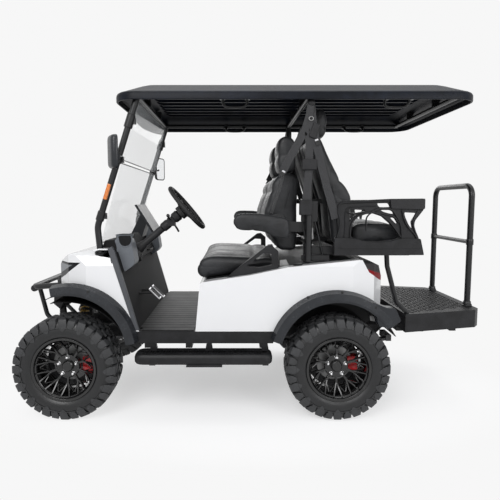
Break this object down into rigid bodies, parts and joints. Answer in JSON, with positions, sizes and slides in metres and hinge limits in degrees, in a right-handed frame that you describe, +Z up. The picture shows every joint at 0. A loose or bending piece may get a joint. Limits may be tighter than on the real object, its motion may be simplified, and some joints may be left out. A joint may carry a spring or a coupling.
{
  "type": "electric utility vehicle",
  "caption": "Lifted electric buggy with a long roof, front bench, rear-facing rear seat, rear step with grab bar, off-road tyres and side boards.",
  "frame": {"origin": "middle of the whole vehicle's box, on the ground under the tyres", "axes": "+Z up, front towards -X, the vehicle's left side towards -Y"},
  "size_m": [2.99, 1.46, 2.0389],
  "materials": {
    "white_gloss": "gloss white body paint",
    "roof_black": "satin dark moulding",
    "black_plastic": "grained black plastic",
    "black_steel": "satin black powder coat",
    "steel": "bare steel",
    "cast": "dark cast iron",
    "caliper_red": "red enamel",
    "spring_gold": "gold enamel",
    "rim_black": "gloss black alloy",
    "tyre": "black tyre rubber",
    "leather": "black seat vinyl",
    "clear": "clear pane",
    "lamp": "smoked clear lamp cover",
    "lamp_red": "red and clear lamp cover",
    "screen": "gloss black screen"
  },
  "bodies": {
    "chassis": {"arch_liners": "black_plastic", "battery_pack": "black_plastic", "belt_reels": "black_plastic", "brush_guard": "black_steel", "calipers_rear": "caliper_red", "dampers": "spring_gold", "dash": "black_plastic", "display": "screen", "drive_motor": "cast", "floor": "black_plastic", "frame_members": "black_steel", "frame_rails": "black_steel", "front_backs": "leather", "front_body": "white_gloss", "front_suspension": "black_steel", "grab_bar": "black_steel", "headlamps": "lamp", "leaf_springs": "cast", "mirrors": "black_plastic", "pedals": "black_plastic", "rear_axle": "cast", "rear_backs": "leather", "rear_body": "white_gloss", "rear_side_frames": "black_plastic", "rear_step": "black_plastic", "roof": "roof_black", "roof_frame": "black_steel", "roof_posts": "black_steel", "seat_deck": "black_plastic", "seat_frame": "black_steel", "side_boards": "black_plastic", "side_restraints": "black_plastic", "sills": "black_plastic", "steering_column": "black_steel", "step_struts": "black_steel", "tail_lamps": "lamp_red", "wheel_flares": "black_plastic", "windshield": "clear"},
    "knuckle_left": {"knuckle_left": "cast", "caliper_front_left": "caliper_red"},
    "knuckle_right": {"knuckle_right": "cast", "caliper_front_right": "caliper_red"},
    "tie_rod": {"tie_rod": "steel"},
    "steering_wheel": {"steering_wheel": "black_plastic"},
    "front_cushion": {"front_cushion": "leather"},
    "rear_cushion": {"rear_cushion": "leather"},
    "armrest_left": {"armrest_left": "black_plastic"},
    "armrest_right": {"armrest_right": "black_plastic"},
    "wheel_front_left": {"tyre_front_left": "tyre", "rim_front_left": "rim_black"},
    "wheel_front_right": {"tyre_front_right": "tyre", "rim_front_right": "rim_black"},
    "wheel_rear_left": {"tyre_rear_left": "tyre", "rim_rear_left": "rim_black"},
    "wheel_rear_right": {"tyre_rear_right": "tyre", "rim_rear_right": "rim_black"}
  },
  "joints": [
    {"name": "steer_left", "type": "hinge", "parent": "chassis", "child": "knuckle_left", "pos_m": [-1.14, -0.425, 0.318], "axis": [0, 0, 1], "range_deg": [-28, 28]},
    {"name": "steer_right", "type": "hinge", "parent": "chassis", "child": "knuckle_right", "pos_m": [-1.14, 0.425, 0.318], "axis": [0, 0, 1], "range_deg": [-28.5, 28.5]},
    {"name": "rack_slide", "type": "slide", "parent": "chassis", "child": "tie_rod", "axis": [0, 1, 0], "range_m": [-0.0545, 0.0545]},
    {"name": "steering_wheel_turn", "type": "hinge", "parent": "chassis", "child": "steering_wheel", "pos_m": [-0.43, -0.265, 1.287], "axis": [0.766, 0, 0.6428], "range_deg": [-422, 422]},
    {"name": "front_cushion_lift", "type": "hinge", "parent": "chassis", "child": "front_cushion", "pos_m": [-0.302, 0, 0.858], "axis": [0, -1, 0], "range_deg": [0, 40]},
    {"name": "rear_cushion_flip", "type": "hinge", "parent": "chassis", "child": "rear_cushion", "pos_m": [0.958, 0, 1.062], "axis": [0, 1, 0], "range_deg": [0, 180]},
    {"name": "armrest_left_lift", "type": "hinge", "parent": "chassis", "child": "armrest_left", "pos_m": [0.188, -0.532, 1.172], "axis": [0, 1, 0], "range_deg": [0, 90]},
    {"name": "armrest_right_lift", "type": "hinge", "parent": "chassis", "child": "armrest_right", "pos_m": [0.188, 0.532, 1.172], "axis": [0, 1, 0], "range_deg": [0, 90]},
    {"name": "wheel_front_left_spin", "type": "hinge", "parent": "knuckle_left", "child": "wheel_front_left", "pos_m": [-1.14, -0.542, 0.318], "axis": [0, 1, 0], "continuous": true},
    {"name": "wheel_front_right_spin", "type": "hinge", "parent": "knuckle_right", "child": "wheel_front_right", "pos_m": [-1.14, 0.542, 0.318], "axis": [0, 1, 0], "continuous": true},
    {"name": "wheel_rear_left_spin", "type": "hinge", "parent": "chassis", "child": "wheel_rear_left", "pos_m": [0.515, -0.542, 0.318], "axis": [0, 1, 0], "continuous": true},
    {"name": "wheel_rear_right_spin", "type": "hinge", "parent": "chassis", "child": "wheel_rear_right", "pos_m": [0.515, 0.542, 0.318], "axis": [0, 1, 0], "continuous": true}
  ],
  "couplings": [
    {"joint": "steer_right", "follows": "steer_left", "ratio": 1},
    {"joint": "rack_slide", "follows": "steer_left", "m_per_rad": 0.11},
    {"joint": "steering_wheel_turn", "follows": "steer_left", "ratio": 15}
  ]
}
